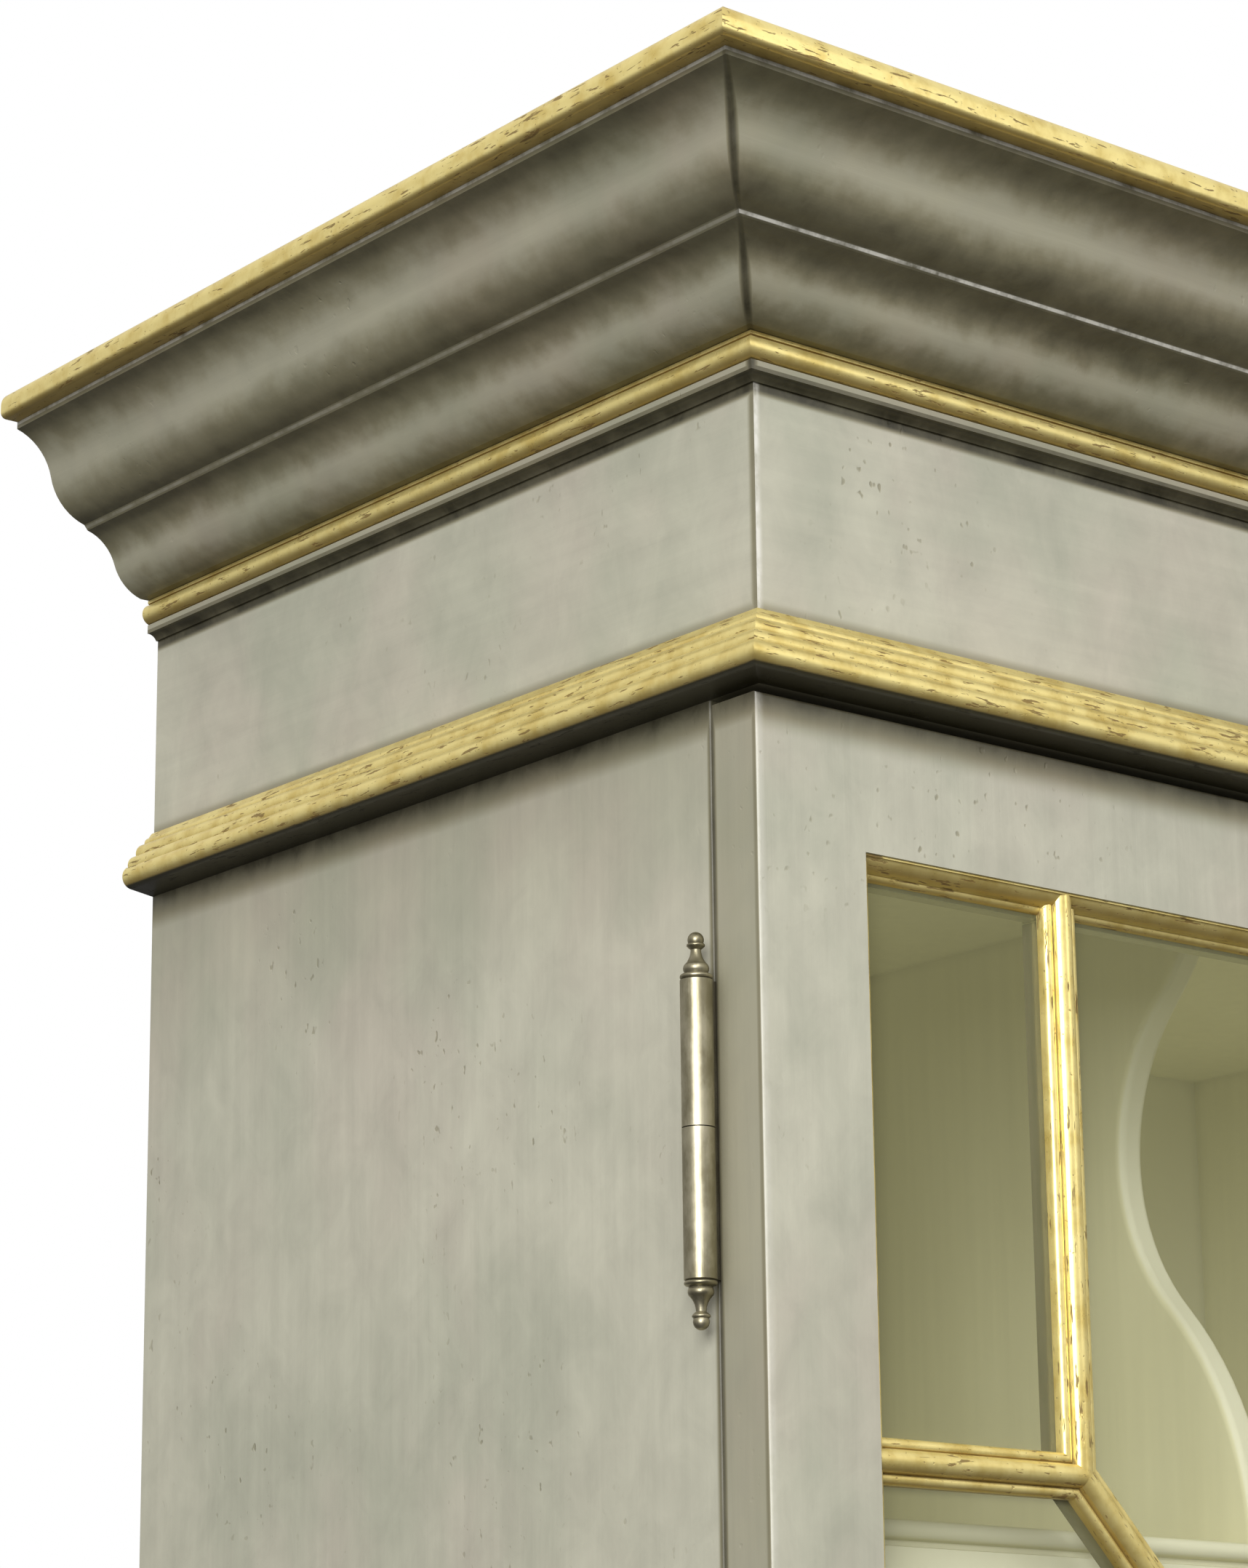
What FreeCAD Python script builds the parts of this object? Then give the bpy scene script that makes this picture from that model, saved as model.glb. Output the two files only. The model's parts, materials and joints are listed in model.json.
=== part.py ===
import FreeCAD, Part
import math
import os

# Painted and gilded display armoire: two glazed doors over two cupboard doors.
# Millimetres. +Z is up, the doors face -Y, the origin is the middle of the footprint on the floor.

os.makedirs("parts", exist_ok=True)
Vector = FreeCAD.Vector

# ---- driving dimensions -------------------------------------------------------------------
body_width = 1250.0          # over the two side panels
body_depth = 405.0           # door faces to the back
cornice_reach = 83.0         # how far the cornice stands out from the frieze
foot_height = 99.8
moulding_height = 28.2       # architrave, waist and base mouldings
reveal = 3.0                 # gap around each door
cupboard_door_height = 470.3
glazed_door_height = 1396.6
frieze_height = 88.1         # plain frieze between architrave and cornice
crown_height = 86.4          # painted part of the cornice
top_bead_height = 12.2
board = 22.0                 # carcass board thickness
top_thickness = 16.0
back_thickness = 12.0
door_thickness = 25.4
door_overhang = 1.8          # doors stand proud of the sides of the body
seam = 2.4                   # between a shut door and the carcass, filled by the hinge leaves
stile_width = 52.0
rail_width = 52.6
arris = 1.2                  # rounded edge of doors and sides

# glazing
sticking_width = 8.4
glass_front = 9.5            # depth of the glass behind the door face
glass_thickness = 3.0
glass_clearance = 0.5
bar_width = 17.0
web_width = 8.0
web_back = 22.0              # depth of the rear webs and beads behind the door face
corner_pane_width = 104.3    # opening edge to the centre of the upright bar
node_rise = 424.9            # middle of the door to the level bars

# hinges
barrel_radius = 6.0
pin_radius = 3.0
pin_clearance = 0.05
hinge_standoff = 9.5         # hinge axis outside the side of the body
knuckle_length = 53.5
finial_height = 18.4
leaf_thickness = 1.0
leaf_reach = 26.0            # hinge axis to the inner edge of a leaf
knuckle_gap = 0.4
tall_hinge_inset = 158.0
low_hinge_inset = 110.0

# shelves and fittings
shelf_thickness = 23.0
shelf_front_gap = 32.0       # door face to the shelf front
shelf_drop = 16.4            # top shelf below the centre of the level bars
divider_thickness = 14.0
scallop_depth = 131.0        # door face to the hollow of the divider's edge
cupboard_shelf_z = 360.0
plain_shelf_thickness = 20.0
support_inset = 45.0         # shelf supports in from the front and back of a shelf
support_radius = 2.5
support_length = 16.0
knob_height = 1150.0         # knob of a glazed door
cupboard_knob_drop = 100.0   # knob below the top of a cupboard door
strike_thickness = 1.2
strike_height = 12.0
magnet_depth = 16.0
magnet_gap = 2.4             # magnet to strike
frieze_board = door_thickness + seam

# ---- levels and faces worked out from them ------------------------------------------------
half_width = body_width / 2
face_y = -(body_depth - cornice_reach) / 2
carcass_y = face_y + frieze_board
back_y = face_y + body_depth
back_panel_y = back_y - board - back_thickness

base_top = foot_height + moulding_height
low_door_bottom = base_top + reveal
low_door_top = low_door_bottom + cupboard_door_height
waist_bottom = low_door_top + reveal
waist_top = waist_bottom + moulding_height
tall_door_bottom = waist_top + reveal
tall_door_top = tall_door_bottom + glazed_door_height
carcass_top = tall_door_top + reveal
frieze_bottom = carcass_top + moulding_height
crown_bottom = frieze_bottom + frieze_height
crown_top = crown_bottom + crown_height
total_height = crown_top + top_bead_height

ceiling_z = carcass_top - top_thickness
inner_half = half_width - board
door_outer = -half_width - door_overhang
door_inner = -reveal / 2
opening_left = door_outer + stile_width
opening_right = door_inner - stile_width
opening_bottom = tall_door_bottom + rail_width
opening_top = tall_door_top - rail_width
opening_middle_x = (opening_left + opening_right) / 2
opening_middle_z = (opening_bottom + opening_top) / 2
shelf_levels = [opening_middle_z + node_rise - shelf_drop, opening_middle_z,
                opening_middle_z - node_rise]
shelf_front_y = face_y + shelf_front_gap
hinge_x = -half_width - hinge_standoff
hinge_y = face_y + door_thickness + seam / 2


# ---- helpers ------------------------------------------------------------------------------
def box(x0, x1, y0, y1, z0, z1):
    """Rectangular board between two corners."""
    return Part.makeBox(x1 - x0, y1 - y0, z1 - z0, Vector(x0, y0, z0))


def mirrored(solids):
    """The same solids on the other side of the middle plane."""
    return [solid.mirror(Vector(0, 0, 0), Vector(1, 0, 0)) for solid in solids]


def both_sides(solids):
    return solids + mirrored(solids)


def save(name, solids):
    """One STEP file per node; a node may be a group of separate solids."""
    shape = solids[0] if len(solids) == 1 else Part.makeCompound(solids)
    shape.exportStep("parts/" + name + ".step")


def bulge(start, end, height):
    """Arc from start to end; height is its rise to the left of the direction of travel."""
    run = (end[0] - start[0], end[1] - start[1])
    length = math.hypot(*run)
    middle = ((start[0] + end[0]) / 2 - run[1] / length * height,
              (start[1] + end[1]) / 2 + run[0] / length * height)
    return ("arc", middle, end)


def face_from(outline, place):
    """Closed face. outline holds points and arcs; place turns (a, b) into a point in space."""
    edges = []
    last = outline[0]
    for step in outline[1:] + [outline[0]]:
        if step[0] == "arc":
            edges.append(Part.Arc(place(*last), place(*step[1]), place(*step[2])).toShape())
            last = step[2]
        else:
            edges.append(Part.makeLine(place(*last), place(*step)))
            last = step
    return Part.Face(Part.Wire(edges))


def prism_xy(points, z0, z1):
    return face_from(points, lambda x, y: Vector(x, y, z0)).extrude(Vector(0, 0, z1 - z0))


def prism_xz(points, y0, y1):
    return face_from(points, lambda x, z: Vector(x, y0, z)).extrude(Vector(0, y1 - y0, 0))


def cap(start, tip):
    """Part of a sphere centred on the axis, from start to the point at height tip on the axis."""
    centre = (tip ** 2 - start[0] ** 2 - start[1] ** 2) / (2 * (tip - start[1]))
    radius = tip - centre
    half_angle = math.atan2(start[0], start[1] - centre) / 2
    middle = (radius * math.sin(half_angle), centre + radius * math.cos(half_angle))
    return ("arc", middle, (0, tip))


def turned(outline, centre, axis):
    """Solid of revolution; outline is (radius, distance along axis)."""
    across = Vector(1, 0, 0)
    face = face_from(outline, lambda r, h: centre + across * r + axis * h)
    return face.revolve(centre, axis, 360)


def eased(solid, radius, chosen):
    """Round the edges for which chosen(middle of the edge) is true."""
    edges = [edge for edge in solid.Edges if chosen(edge.CenterOfMass)]
    return solid.makeFillet(radius, edges)


def near(a, b):
    return abs(a - b) < 0.01


# ---- mouldings that run round the front and both ends ---------------------------------------
def mitred_set(profile):
    """Front, left and right lengths of a moulding, mitred at the two front corners.

    profile is (distance out from the body, height).
    """
    reach = cornice_reach + 20
    depth = 60.0
    corner_x, corner_y = -half_width, face_y
    outline_front = [(corner_x - reach, corner_y - reach), (corner_x + depth, corner_y + depth),
                     (-corner_x - depth, corner_y + depth), (-corner_x + reach, corner_y - reach)]
    outline_side = [(corner_x - reach, corner_y - reach), (corner_x + depth, corner_y + depth),
                    (corner_x + depth, back_y), (corner_x - reach, back_y)]
    front = face_from(profile, lambda p, z: Vector(corner_x - reach, face_y - p, z))
    front = front.extrude(Vector(2 * (reach - corner_x), 0, 0))
    side = face_from(profile, lambda p, z: Vector(-half_width - p, corner_y - reach, z))
    side = side.extrude(Vector(0, back_y - corner_y + reach, 0))
    front = front.common(prism_xy(outline_front, 0, total_height + 10)).Solids[0]
    side = side.common(prism_xy(outline_side, 0, total_height + 10)).Solids[0]
    return [front, side] + mirrored([side])


def crown_profile():
    """Undercut fillet, rebate for the gilded bead, two cyma curves with a fillet between them."""
    z = crown_bottom
    bead_seat, bead_top = 6.4, 17.9
    low_curve = [(9.5, bead_top), (23.4, 31.0), (37.6, 44.1)]
    high_curve = [(39.4, 46.3), (56.9, 64.7), (74.6, 83.2)]
    steps = [(0, 0), (1.0, 0), bulge((1.0, 0), (5.0, 2.6), 0.7), (5.5, 2.6), (5.5, bead_seat),
             (2.0, bead_seat), (2.0, bead_top), low_curve[0],
             bulge(low_curve[0], low_curve[1], -2.4), bulge(low_curve[1], low_curve[2], 2.5),
             high_curve[0],
             bulge(high_curve[0], high_curve[1], -3.6), bulge(high_curve[1], high_curve[2], 3.6),
             (74.6, crown_height), (0, crown_height)]
    return raised(steps, z)


def raised(steps, z):
    """Move an outline up by z."""
    result = []
    for step in steps:
        if step[0] == "arc":
            result.append(("arc", (step[1][0], step[1][1] + z), (step[2][0], step[2][1] + z)))
        else:
            result.append((step[0], step[1] + z))
    return result


def flipped(steps, height):
    """Turn an outline upside down within its height."""
    result = []
    for step in steps:
        if step[0] == "arc":
            result.append(("arc", (step[1][0], height - step[1][1]),
                           (step[2][0], height - step[2][1])))
        else:
            result.append((step[0], height - step[1]))
    return result


def lower_bead_profile():
    """Round bead with a small fillet above it."""
    steps = [(2.0, 6.6), (4.4, 6.6), bulge((4.4, 6.6), (4.6, 15.9), -3.9), (5.6, 16.3),
             (5.6, 17.7), (2.0, 17.7)]
    return raised(steps, crown_bottom)


def top_bead_profile():
    """Nosing with a soft lower corner and a large upper round."""
    inner, nose = 60.0, cornice_reach
    steps = [(inner, 0), (nose - 2.4, 0), bulge((nose - 2.4, 0), (nose, 2.6), -0.7),
             (nose, 5.6), bulge((nose, 5.6), (nose - 6.8, top_bead_height), -2.1),
             (inner, top_bead_height)]
    return raised(steps, crown_top)


def reeded_profile():
    """Rounded nose at the bottom with three reeds stepping back above it."""
    quirk = 0.9
    steps = [(0, 0), (11.0, 1.7), bulge((11.0, 1.7), (14.0, 10.8), -3.2)]
    p, h = 13.0, 11.1
    for reed_height, reed_step, fullness in ((5.4, 3.1, 1.3), (5.8, 3.3, 1.4), (3.1, 1.9, 0.7)):
        steps.append((p, h))
        top = (p - reed_step, h + reed_height)
        steps.append(bulge((p, h), top, -fullness))
        p, h = top[0] - quirk, top[1] + 0.2
    steps.append((1.2, moulding_height))
    steps.append((0, moulding_height))
    return steps


def board_profile(z0, z1):
    return [(0, z0), (0, z1), (-frieze_board, z1), (-frieze_board, z0)]


def make_cornice():
    crown = mitred_set(crown_profile())
    for name, piece in zip(("cornice_front", "cornice_left", "cornice_right"), crown):
        save(name, [piece])
    save("cornice_top_beads", mitred_set(top_bead_profile()))
    save("cornice_lower_beads", mitred_set(lower_bead_profile()))
    frieze = mitred_set(board_profile(carcass_top, crown_top))
    save("frieze_front", [frieze[0]])
    back_board = box(-half_width + frieze_board, half_width - frieze_board,
                     back_y - board, back_y, carcass_top, crown_top)
    save("frieze_ends_and_back", frieze[1:] + [back_board])
    reach = 60.0
    save("dust_board", [box(-half_width - reach, half_width + reach, face_y - reach, back_y,
                            crown_top, total_height)])
    save("architrave_mouldings", mitred_set(raised(reeded_profile(), carcass_top)))
    save("waist_mouldings", mitred_set(raised(flipped(reeded_profile(), moulding_height),
                                              waist_bottom)))
    save("base_mouldings", mitred_set(raised(reeded_profile(), foot_height)))


def frieze_glue_blocks():
    """Triangular blocks in the corner between the frieze and the top board."""
    leg, length = 30.0, 100.0
    blocks = []
    for middle in (-450.0, -150.0, 150.0, 450.0):
        outline = [(carcass_y, carcass_top), (carcass_y + leg, carcass_top),
                   (carcass_y, carcass_top + leg)]
        face = face_from(outline, lambda y, z: Vector(middle - length / 2, y, z))
        blocks.append(face.extrude(Vector(length, 0, 0)))
    return blocks


# ---- carcass --------------------------------------------------------------------------------
def support_pins():
    """Shelf supports in the left half: four under each shelf."""
    pins = []
    bottoms = [level - shelf_thickness for level in shelf_levels]
    bottoms.append(cupboard_shelf_z - plain_shelf_thickness)
    for bottom in bottoms:
        for wall_x in (-inner_half, -board / 2):
            for y in (shelf_front_y + support_inset, back_panel_y - support_inset):
                start = Vector(wall_x - support_length / 2, y, bottom - support_radius)
                pins.append(Part.makeCylinder(support_radius, support_length, start,
                                              Vector(1, 0, 0)))
    return pins


def pin_holes():
    """Blind holes for the shelf supports, a little larger than the supports."""
    holes = []
    margin = 0.2
    for pin in support_pins():
        centre = pin.CenterOfMass
        start = centre - Vector(support_length / 2 + margin, 0, 0)
        holes.append(Part.makeCylinder(support_radius + pin_clearance,
                                       support_length + 2 * margin, start, Vector(1, 0, 0)))
    return Part.makeCompound(both_sides(holes))


def make_carcass():
    holes = pin_holes()
    side = box(-half_width, -inner_half, carcass_y, back_y, foot_height, carcass_top)
    side = eased(side, arris, lambda c: near(c.x, -half_width) and near(c.y, carcass_y))
    side = side.cut(holes).Solids[0]
    save("side_panel_left", [side])
    save("side_panel_right", mirrored([side]))
    save("top_board", [box(-inner_half, inner_half, carcass_y, back_panel_y,
                           ceiling_z, carcass_top)])
    save("middle_board", [box(-inner_half, inner_half, carcass_y, back_panel_y,
                              waist_top - board, waist_top)])
    save("bottom_board", [box(-inner_half, inner_half, carcass_y, back_panel_y,
                              base_top - board, base_top)])
    post = board / 2
    upper = box(-post, post, carcass_y, back_panel_y, waist_top, ceiling_z)
    save("upper_partition", [upper.cut(holes).Solids[0]])
    lower = box(-post, post, carcass_y, back_panel_y, base_top, waist_top - board)
    save("lower_partition", [lower.cut(holes).Solids[0]])
    split = waist_top - board / 2
    save("upper_back_panel", [box(-inner_half, inner_half, back_panel_y, back_y - board,
                                  split, carcass_top)])
    save("lower_back_panel", [box(-inner_half, inner_half, back_panel_y, back_y - board,
                                  foot_height, split)])
    rail = 80.0
    rails = []
    for z in (foot_height, split - rail / 2, carcass_top - rail):
        rails.append(box(-inner_half, inner_half, back_y - board, back_y, z, z + rail))
    save("back_rails", rails)
    for name, z in (("waist_rail", waist_bottom), ("base_rail", foot_height)):
        save(name, [box(-half_width, half_width, face_y, carcass_y, z, z + moulding_height)])


def bracket_outline():
    """Shape of a foot bracket: (distance from the corner, height)."""
    return [(0, 0), (56, 0), bulge((56, 0), (78, 40), 7.0), (84, 44),
            bulge((84, 44), (134, 80), -9.0), (150, 80), (150, foot_height), (0, foot_height)]


def make_feet():
    """Mitred bracket feet with a corner post inside each."""
    proud, thickness, post, reach = 8.0, 24.0, 31.0, 200.0
    corner_x = -half_width - proud
    corner_y = face_y - proud
    outline = bracket_outline()
    front = face_from(outline, lambda s, z: Vector(corner_x + s, corner_y, z))
    front = front.extrude(Vector(0, thickness, 0))
    side = face_from(outline, lambda s, z: Vector(corner_x, corner_y + s, z))
    side = side.extrude(Vector(thickness, 0, 0))
    mitre_front = prism_xy([(corner_x, corner_y), (corner_x + reach, corner_y),
                            (corner_x + reach, corner_y + reach)], 0, foot_height)
    mitre_side = prism_xy([(corner_x, corner_y), (corner_x + reach, corner_y + reach),
                           (corner_x, corner_y + reach)], 0, foot_height)
    front = front.common(mitre_front).Solids[0]
    side = side.common(mitre_side).Solids[0]
    save("front_feet", both_sides([front, side]))
    rear_side = face_from(outline, lambda s, z: Vector(corner_x, back_y - s, z))
    rear_side = rear_side.extrude(Vector(thickness, 0, 0))
    rear = box(corner_x + thickness, corner_x + 150, back_y - board, back_y, 0, foot_height)
    save("back_feet", both_sides([rear_side, rear]))
    inner_x = corner_x + thickness
    front_post = box(inner_x, inner_x + post, corner_y + thickness, corner_y + thickness + post,
                     0, foot_height)
    rear_post = box(inner_x, inner_x + post, back_y - board - post, back_y - board, 0, foot_height)
    save("glue_blocks", frieze_glue_blocks() + both_sides([front_post, rear_post]))


# ---- shelves and dividers -------------------------------------------------------------------
def display_shelf(level):
    """Shelf with a bead, a quirk and a fascia along its front edge."""
    front = shelf_front_y
    outline = [(back_panel_y, -shelf_thickness), (back_panel_y, 0), (front + 2.6, 0),
               bulge((front + 2.6, 0), (front + 2.6, -7.0), -2.6), (front + 4.6, -7.4),
               (front + 4.6, -9.4), (front + 1.0, -10.0), (front + 1.0, -20.0),
               bulge((front + 1.0, -20.0), (front + 4.0, -shelf_thickness), -0.9)]
    face = face_from(raised(outline, level), lambda y, z: Vector(-inner_half, y, z))
    return face.extrude(Vector(inner_half - board / 2, 0, 0))


def scalloped_divider():
    """Upright divider of the top tier; its front edge is one deep hollow between two swells."""
    bottom = shelf_levels[0]
    deep_y = face_y + scallop_depth
    hollow_z = bottom + 169.0
    turn_y, turn_rise = deep_y - 25.5, 65.0
    foot_y, head_y = deep_y - 65.0, deep_y - 53.0
    lower, upper = (turn_y, hollow_z - turn_rise), (turn_y, hollow_z + turn_rise)
    foot, head = (foot_y, bottom), (head_y, ceiling_z)
    outline = [(back_panel_y, bottom), (back_panel_y, ceiling_z), head,
               bulge(head, upper, -2.2), bulge(upper, lower, 25.5), bulge(lower, foot, -10.2)]
    middle_x = -(inner_half + board / 2) / 2
    half = divider_thickness / 2
    face = face_from(outline, lambda y, z: Vector(middle_x - half, y, z))
    divider = face.extrude(Vector(divider_thickness, 0, 0))

    def on_front(c):
        on_side = near(abs(c.x - middle_x), half)
        return on_side and c.y < deep_y + 1 and bottom + 0.1 < c.z < ceiling_z - 0.1

    return eased(divider, 3.5, on_front)


def make_shelves():
    shelves = [display_shelf(level) for level in shelf_levels]
    save("top_display_shelves", both_sides(shelves[:1]))
    save("middle_display_shelves", both_sides(shelves[1:2]))
    save("lower_display_shelves", both_sides(shelves[2:]))
    save("scalloped_dividers", both_sides([scalloped_divider()]))
    plain = box(-inner_half, -board / 2, shelf_front_y + 20, back_panel_y,
                cupboard_shelf_z - plain_shelf_thickness, cupboard_shelf_z)
    save("cupboard_shelves", both_sides([plain]))
    save("shelf_supports", both_sides(support_pins()))


# ---- doors ----------------------------------------------------------------------------------
def door_frame(bottom, top):
    """Stiles and rails of the left-hand door between two levels."""
    back = face_y + door_thickness

    def outer_edge(c):
        ends = near(c.z, top) or near(c.z, bottom)
        uprights = near(c.x, door_outer) or near(c.x, door_inner)
        return (near(c.y, face_y) or near(c.y, back)) and (ends or uprights)

    def rail_edge(c):
        return near(c.y, face_y) and (near(c.z, top) or near(c.z, bottom))

    outer_stile = box(door_outer, opening_left, face_y, back, bottom, top)
    inner_stile = box(opening_right, door_inner, face_y, back, bottom, top)
    top_rail = box(opening_left, opening_right, face_y, back, top - rail_width, top)
    bottom_rail = box(opening_left, opening_right, face_y, back, bottom, bottom + rail_width)
    stiles = [eased(stile, arris, outer_edge) for stile in (outer_stile, inner_stile)]
    rails = [eased(rail, arris, rail_edge) for rail in (top_rail, bottom_rail)]
    return stiles, rails


def frame_in_opening(profile, bottom, top):
    """Four mitred lengths round the inside of a door opening.

    profile is (distance in from the edge, depth behind the door face).
    """
    left, right = opening_left, opening_right
    half = (right - left) / 2
    middle_x, middle_z = (left + right) / 2, (bottom + top) / 2
    upright = face_from(profile, lambda s, d: Vector(left + s, face_y + d, bottom))
    upright = upright.extrude(Vector(0, 0, top - bottom))
    upright = upright.common(prism_xz([(left, bottom), (left + half, bottom + half),
                                       (left + half, top - half), (left, top)],
                                      face_y, face_y + door_thickness)).Solids[0]
    level = face_from(profile, lambda s, d: Vector(left, face_y + d, top - s))
    level = level.extrude(Vector(right - left, 0, 0))
    level = level.common(prism_xz([(left, top), (middle_x, top - half), (right, top)],
                                  face_y, face_y + door_thickness)).Solids[0]
    centre = Vector(middle_x, 0, middle_z)
    return [upright, upright.mirror(centre, Vector(1, 0, 0)),
            level, level.mirror(centre, Vector(0, 0, 1))]


def sticking_profile():
    """Quirk, ovolo and a small bead against the glass."""
    return [(0, 1.0), (0.8, 1.0), (0.8, 1.8), bulge((0.8, 1.8), (5.8, 6.8), -0.8), (5.8, 7.4),
            bulge((5.8, 7.4), (sticking_width, glass_front), -0.5), (0, glass_front)]


def rear_bead_profile():
    return [(0, glass_front + glass_thickness), (9.0, glass_front + glass_thickness),
            (9.0, web_back - 3), (6.0, web_back), (0, web_back)]


def bar_profile():
    """Astragal section, front half: a high middle ridge between two lower reeds."""
    half = bar_width / 2
    return [(-half, glass_front), (-half, 6.8), bulge((-half, 6.8), (-5.0, 4.9), -1.0),
            (-4.5, 5.4), (-4.1, 3.4), bulge((-4.1, 3.4), (4.1, 3.4), -2.4), (4.5, 5.4),
            (5.0, 4.9), bulge((5.0, 4.9), (half, 6.8), -1.0), (half, glass_front)]


def web_profile():
    half = web_width / 2
    return [(-half, glass_front), (-half, web_back), (half, web_back), (half, glass_front)]


def glazing_lines():
    """Centre lines of the bars in one door, as pairs of (x, z)."""
    left, right = opening_left, opening_right
    middle_x, middle_z = opening_middle_x, opening_middle_z
    near_left, near_right = left + corner_pane_width, right - corner_pane_width
    crossing = node_rise * (right - middle_x) / (right - near_left)
    lines = []
    for sign, edge_z in ((1, opening_top), (-1, opening_bottom)):
        node_z = middle_z + sign * node_rise
        cross = (middle_x, middle_z + sign * crossing)
        for node_x, edge_x in ((near_left, left), (near_right, right)):
            lines.append(((node_x, node_z), (node_x, edge_z)))
            lines.append(((node_x, node_z), (edge_x, node_z)))
            lines.append(((node_x, node_z), cross))
            lines.append((cross, (edge_x, middle_z)))
    return lines


def same_point(a, b):
    return near(a[0], b[0]) and near(a[1], b[1])


def directions_at(point, lines):
    """Angles of all bars that leave a point."""
    angles = []
    for start, end in lines:
        for here, there in ((start, end), (end, start)):
            if same_point(here, point):
                angles.append(math.atan2(there[1] - here[1], there[0] - here[0]) % (2 * math.pi))
    return sorted(angles)


def mitre_wedge(point, far, lines):
    """Region of the door plane that belongs to one bar at a joint, or None at a plain end."""
    angles = directions_at(point, lines)
    if len(angles) < 2:
        return None
    own = math.atan2(far[1] - point[1], far[0] - point[0]) % (2 * math.pi)
    index = min(range(len(angles)), key=lambda i: abs(angles[i] - own))
    before = angles[index - 1] - (2 * math.pi if index == 0 else 0)
    after = angles[(index + 1) % len(angles)]
    after += 2 * math.pi if index == len(angles) - 1 else 0
    first, last = (before + own) / 2, (own + after) / 2
    reach = 2500.0
    points = [point]
    for step in range(5):
        angle = first + (last - first) * step / 4
        points.append((point[0] + reach * math.cos(angle), point[1] + reach * math.sin(angle)))
    return prism_xz(points, face_y, face_y + door_thickness)


def glazing_bars(profile, cope):
    """All bars of one door, mitred at the joints and coped to the frame mouldings."""
    lines = glazing_lines()
    opening = box(opening_left, opening_right, face_y, face_y + door_thickness,
                  opening_bottom, opening_top)
    bars = []
    for start, end in lines:
        length = math.hypot(end[0] - start[0], end[1] - start[1])
        along = Vector((end[0] - start[0]) / length, 0, (end[1] - start[1]) / length)
        across = Vector(-along.z, 0, along.x)
        origin = Vector(start[0], face_y, start[1]) - along * bar_width
        face = face_from(profile, lambda u, d: origin + across * u + Vector(0, d, 0))
        bar = face.extrude(along * (length + 2 * bar_width))
        for here, there in ((start, end), (end, start)):
            wedge = mitre_wedge(here, there, lines)
            if wedge is not None:
                bar = bar.common(wedge)
        bar = bar.common(opening).cut(Part.makeCompound(cope))
        bars.append(max(bar.Solids, key=lambda solid: solid.Volume))
    return bars


def glass_panes():
    """One pane per cell of the glazing pattern, loose between the webs."""
    gap = glass_clearance
    front = face_y + glass_front
    sheet = box(opening_left + gap, opening_right - gap, front, front + glass_thickness,
                opening_bottom + gap, opening_top - gap)
    half = web_width / 2 + gap
    for start, end in glazing_lines():
        length = math.hypot(end[0] - start[0], end[1] - start[1])
        along = ((end[0] - start[0]) / length, (end[1] - start[1]) / length)
        a = (start[0] - along[0] * half, start[1] - along[1] * half)
        b = (end[0] + along[0] * half, end[1] + along[1] * half)
        across = (-along[1] * half, along[0] * half)
        strip = prism_xz([(a[0] - across[0], a[1] - across[1]), (b[0] - across[0], b[1] - across[1]),
                          (b[0] + across[0], b[1] + across[1]), (a[0] + across[0], a[1] + across[1])],
                         face_y, face_y + door_thickness)
        sheet = sheet.cut(strip)
    return sheet.Solids


def raised_panel(bottom, top):
    """Cupboard panel with a bevelled field."""
    gap = glass_clearance
    left, right = opening_left + gap, opening_right - gap
    bottom, top = bottom + gap, top - gap
    sheet_front, sheet_back, field_front, bevel = 9.5, 18.0, 4.5, 42.0
    sheet = box(left, right, face_y + sheet_front, face_y + sheet_back, bottom, top)
    margin = 12.0

    def ring(inset, depth):
        corners = [(left + inset, bottom + inset), (right - inset, bottom + inset),
                   (right - inset, top - inset), (left + inset, top - inset)]
        points = [Vector(x, face_y + depth, z) for x, z in corners]
        return Part.makePolygon(points + points[:1])

    field = Part.makeLoft([ring(margin, sheet_front), ring(bevel, field_front)], True, True)
    return sheet.fuse(field).removeSplitter().Solids[0]


# ---- hardware -------------------------------------------------------------------------------
def finial_steps():
    """Turned finial on a hinge barrel, from the barrel's end to the tip."""
    return [(barrel_radius, 0), (barrel_radius, 0.5), (5.3, 0.9),
            bulge((5.3, 0.9), (5.3, 2.7), -0.7), (4.2, 3.1), (4.5, 3.8),
            bulge((4.5, 3.8), (3.9, 6.6), -0.5), bulge((3.9, 6.6), (1.9, 11.8), 0.5),
            (3.0, 12.8), bulge((3.0, 12.8), (2.7, 14.1), -0.5), cap((2.7, 14.1), finial_height)]


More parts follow.
